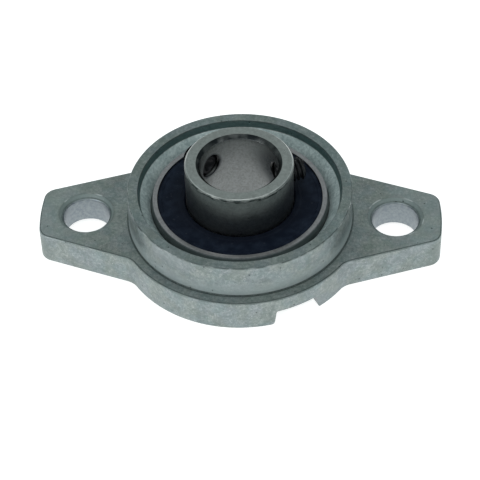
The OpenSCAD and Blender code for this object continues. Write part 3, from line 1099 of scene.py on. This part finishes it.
# %% Spin the outer ring
LAND_R = 11.5
BALL_D = 4.762
GROOVE_SHARE = 0.525
GROOVE_R = BALL_D * GROOVE_SHARE
BALL_GAP = 0.05
SEAL_FIT = 0.02
LIP_EDGE_R = 0.06
STEP_EDGE_R = 0.1
LAND_END_Z = 2.0

pitch_r = (inner_ring_r + LAND_R) / 2
groove_shift = GROOVE_R - BALL_D / 2 - BALL_GAP
lip_in_r = seal_r + SEAL_FIT


def mirrored_outline(front):
    """An outline from its front half, which starts and ends on the middle plane."""
    back_half = [(away, -height) for away, height in reversed(front)]
    return front + back_half[1:]


ball_side = arc((0, 0), insert_r, 0, math.degrees(math.asin((outer_half_w - LIP_EDGE_R) / insert_r)), 14)
lip = rounded([
    ball_side[-1],
    (lip_out_r, outer_half_w),
    (lip_in_r, outer_half_w),
    (lip_in_r, seal_foot_z),
    (LAND_R, seal_foot_z),
    (LAND_R, LAND_END_Z),
], {2: LIP_EDGE_R, 4: STEP_EDGE_R}, 3)
groove_half = math.sqrt(GROOVE_R ** 2 - (LAND_R - pitch_r + groove_shift) ** 2)
groove_angle = math.degrees(math.asin(groove_half / GROOVE_R))
groove = arc((pitch_r - groove_shift, 0), GROOVE_R, groove_angle, 0, 10)
front_half = ball_side[:-1] + lip[:-1] + groove
outline = mirrored_outline(front_half)
outer_ring = turned_piece("outer_ring_turned", outline, (0, 0, seat_z))
dress(outer_ring, "outer_ring", "outer_ring", turned)

# %% [markdown]
# ## Inner ring
#
# The inner ring is long in front of the balls, to give the set screws something to hold. Its bore and its
# ends are ground, and each edge has a chamfer. The screw holes are tapped, and a tapped hole is best cut with
# a threaded rod, so a rod is made first: a zigzag line, one tooth to each turn, swept once round by the Screw
# modifier while it rises by one tooth. The same rod, a little thinner, will make the screws.

# %% A threaded rod
PITCH = 0.7
THREAD_STEPS = 48


def threaded_rod(name, root_r, crest_r, length):
    """A rod along Z from 0 to about this length, with a thread whose flats are in the usual proportions."""
    teeth = math.ceil(length / PITCH)
    line = [(0, 0)]
    for tooth in range(teeth):
        foot = tooth * PITCH
        line += [(root_r, foot), (root_r, foot + PITCH / 4)]
        line += [(crest_r, foot + 9 / 16 * PITCH), (crest_r, foot + 11 / 16 * PITCH)]
    line += [(root_r, teeth * PITCH), (0, teeth * PITCH)]

    rod = start_piece(name)
    draw([(away, 0, height) for away, height in line])
    only(rod)
    modifier = rod.modifiers.new("sweep", "SCREW")
    modifier.screw_offset = PITCH
    modifier.steps = THREAD_STEPS
    modifier.render_steps = THREAD_STEPS
    bpy.ops.object.modifier_apply(modifier=modifier.name)
    bpy.ops.object.mode_set(mode="EDIT")
    bpy.ops.mesh.select_all(action="SELECT")
    bpy.ops.mesh.remove_doubles(threshold=MERGE)
    bpy.ops.mesh.fill_holes(sides=0)
    return close_up()


print("thread pitch", PITCH, "mm")

# %% Spin the inner ring
RING_CHAMFER = 0.25
BORE_CHAMFER = 0.6
RING_BREAK = 0.06
BORE_ROWS = 10

front = ring_front_z - seat_z
rear = ring_back_z - seat_z
ring_groove_half = math.sqrt(GROOVE_R ** 2 - (pitch_r + groove_shift - inner_ring_r) ** 2)
ring_groove_angle = math.degrees(math.asin(ring_groove_half / GROOVE_R))
outline = rounded([
    (bore_r, rear + BORE_CHAMFER),
    (bore_r + BORE_CHAMFER, rear),
    (inner_ring_r - RING_CHAMFER, rear),
    (inner_ring_r, rear + RING_CHAMFER),
    (inner_ring_r, 0),
    (inner_ring_r, front - RING_CHAMFER),
    (inner_ring_r - RING_CHAMFER, front),
    (bore_r + BORE_CHAMFER, front),
    (bore_r, front - BORE_CHAMFER),
], {i: RING_BREAK for i in (0, 1, 2, 3, 5, 6, 7, 8)}, 2)
middle_point = outline.index((inner_ring_r, 0))
race = arc((pitch_r + groove_shift, 0), GROOVE_R, 180 + ring_groove_angle, 180 - ring_groove_angle, 16)
bore_l = front - rear - 2 * BORE_CHAMFER
bore_line = [(bore_r, front - BORE_CHAMFER - bore_l * (i + 0.5) / BORE_ROWS) for i in range(BORE_ROWS)]
outline = outline[:middle_point] + race + outline[middle_point + 1:] + bore_line + outline[:1]
inner_ring = turned_piece("inner_ring_ground", outline, (0, 0, seat_z))

# %% [markdown]
# Each hole lies on its screw's own line of travel, which the joint of that screw gives. The hole's outer
# mouth is broken with a shallow cone, as a countersink leaves it.

# %% Tap the screw holes
HOLE_MINOR_R = 1.85
HOLE_MAJOR_R = 2.02
TAP_MARGIN = 1.5
SINK_R = 2.4
SINK_DEPTH = 1
SINK_MARGIN = 0.5
SINK_STEPS = 64


def screw_place(node, start):
    """The placement that lays a rod, drawn along Z, on a screw's line, starting this far from the axis."""
    travel = Vector(joints[node + "_drive"]["axis"])
    turn = travel.to_track_quat("Z", "Y").to_matrix().to_4x4()
    return Matrix.Translation(Vector((0, 0, screw_z)) + travel * start) @ turn


for node in SCREW_NODES:
    tap = threaded_rod("tap", HOLE_MINOR_R, HOLE_MAJOR_R, inner_ring_r - bore_r + 2 * TAP_MARGIN)
    tap.matrix_world = screw_place(node, bore_r - TAP_MARGIN)
    cut(inner_ring, tap)
    sink = turned_piece("sink", [
        (0, -SINK_DEPTH), (SINK_R - SINK_DEPTH, -SINK_DEPTH), (SINK_R + SINK_MARGIN, SINK_MARGIN),
        (0, SINK_MARGIN)], (0, 0, 0), SINK_STEPS)
    sink.matrix_world = screw_place(node, inner_ring_r)
    cut(inner_ring, sink)
print("inner ring with its holes:", len(inner_ring.data.polygons), "faces")
dress(inner_ring, "inner_ring", "inner_ring", ground)

# %% [markdown]
# ## Seals
#
# Each seal is a rubber washer moulded on a steel core. Its face has a rounded bead where it snaps into the
# outer ring, a shallow dish, and a thicker lip that runs close to the inner ring. One is spun for the front,
# and its copy is mirrored for the back. A mirrored mesh is inside out, so its faces are turned afterwards.

# %% Spin the seals
SEAL_LIP_GAP = 0.06
SEAL_LIP_W = 0.7
SEAL_RELIEF = 0.1
CORE_T = 0.25
BEAD_W = 0.55
BEAD_SLOPE = 0.2
LIP_STEP = 0.2
LIP_SLOPE = 0.25
LIP_CHAMFER = 0.25
SEAL_RADII = {4: 0.09, 5: 0.1, 6: 0.1, 7: 0.12, 8: 0.1, 9: 0.1, 10: 0.06}

lip_r = inner_ring_r + SEAL_LIP_GAP
core_r = lip_r + SEAL_LIP_W - SEAL_FIT
core_top_z = seal_foot_z + CORE_T
dish_z = seal_face_z - SEAL_RELIEF
seal_outline = rounded([
    (lip_r, seal_foot_z),
    (core_r, seal_foot_z),
    (core_r, core_top_z),
    (seal_r, core_top_z),
    (seal_r, seal_face_z),
    (seal_r - BEAD_W, seal_face_z),
    (seal_r - BEAD_W - BEAD_SLOPE, dish_z),
    (core_r + LIP_STEP + LIP_SLOPE, dish_z),
    (core_r + LIP_STEP, seal_face_z),
    (lip_r + LIP_CHAMFER, seal_face_z),
    (lip_r, seal_face_z - LIP_CHAMFER),
], SEAL_RADII, 4)
seal_outline.append(seal_outline[0])

seal_front = turned_piece("seal_front_moulded", seal_outline, (0, 0, seat_z))
only(seal_front)
bpy.ops.object.duplicate()
seal_back = bpy.context.object
seal_back.name = "seal_back_moulded"
bpy.ops.object.mode_set(mode="EDIT")
bpy.ops.mesh.select_all(action="SELECT")
bpy.ops.transform.resize(value=(1, 1, -1), center_override=(0, 0, seat_z))
close_up()
dress(seal_front, "outer_ring", "seal_front", seal_black)
dress(seal_back, "outer_ring", "seal_back", seal_black)

# %% [markdown]
# ## Set screws
#
# A set screw is a short threaded rod with no head: a hexagon socket in one end and a hollow cup in the other,
# whose rim bites into the shaft. The threaded rod is trimmed to a blank with chamfered ends, and the socket,
# its countersunk mouth and the cup are cut in turn. One screw is made, and the second is a copy.

# %% Make one screw and copy it
SCREW_R = 1.8
SCREW_ROOT_R = 1.42
SCREW_L = 4.0
SCREW_CHAMFER = 0.3
SCREW_TIP_INSET = 0.25
SOCKET_AF = 2.0
SOCKET_DEPTH = 1.6
CUP_R = 1.0
CUP_MARGIN = 0.5
MOUTH_R = 1.3
MOUTH_CHAMFER = 0.3
MOUTH_DEPTH = 0.22
MOUTH_STEPS = 48
BLANK_ROOM = 0.02
BLANK_STEPS = 64


def set_screw(name):
    rod = threaded_rod(name, SCREW_ROOT_R, SCREW_R, SCREW_L + 2 * PITCH)
    rod.location.z = -PITCH
    only(rod)
    bpy.ops.object.transform_apply(location=True, rotation=True, scale=True)
    blank_r = SCREW_R + BLANK_ROOM
    end_r = SCREW_R - SCREW_CHAMFER
    blank = turned_piece("blank", [
        (0, 0), (end_r, 0), (blank_r, SCREW_CHAMFER), (blank_r, SCREW_L - SCREW_CHAMFER), (end_r, SCREW_L),
        (0, SCREW_L)], (0, 0, 0), BLANK_STEPS)
    cut(rod, blank, "INTERSECT")

    bpy.ops.object.select_all(action="DESELECT")
    bpy.ops.mesh.primitive_cylinder_add(
        vertices=6, radius=SOCKET_AF / 2 / math.cos(math.pi / 6), depth=2 * SOCKET_DEPTH,
        location=(0, 0, SCREW_L))
    cut(rod, bpy.context.object)
    mouth = turned_piece("mouth", [
        (0, 0), (MOUTH_R - MOUTH_CHAMFER, 0), (MOUTH_R, MOUTH_CHAMFER), (MOUTH_R, CUT_MARGIN),
        (0, CUT_MARGIN)], (0, 0, SCREW_L - MOUTH_DEPTH), MOUTH_STEPS)
    cut(rod, mouth)
    cup = turned_piece("cup", [
        (0, CUP_R), (CUP_R + CUP_MARGIN, -CUP_MARGIN), (0, -CUP_MARGIN)], (0, 0, 0), MOUTH_STEPS)
    cut(rod, cup)
    return rod


first_screw = set_screw("set_screw_a_threaded")
only(first_screw)
bpy.ops.object.duplicate()
second_screw = bpy.context.object
second_screw.name = "set_screw_b_threaded"
for screw, node in zip((first_screw, second_screw), SCREW_NODES):
    screw.data.transform(screw_place(node, bore_r + SCREW_TIP_INSET))
    dress(screw, node, node, screw_black)

# %% [markdown]
# ## Inside the bearing
#
# The balls, the riveted cage and the seals' steel cores are hidden once the seals are in. Their solids have
# the right shapes already, so they stay and only take a finish.

# %% Finish the hidden pieces
def hidden_finish(name):
    """The finish of a piece that keeps its solid, or nothing for the others."""
    if name.startswith("ball_"):
        return balls
    if name.startswith("cage_"):
        return cage_sheet
    return core_sheet if name.endswith("_core") else None


hidden = {name: node for name, node in frame["nodes"].items() if hidden_finish(name)}
for name, node in hidden.items():
    node.material_slots[0].material = hidden_finish(name)
print("hidden pieces with a finish:", len(hidden))
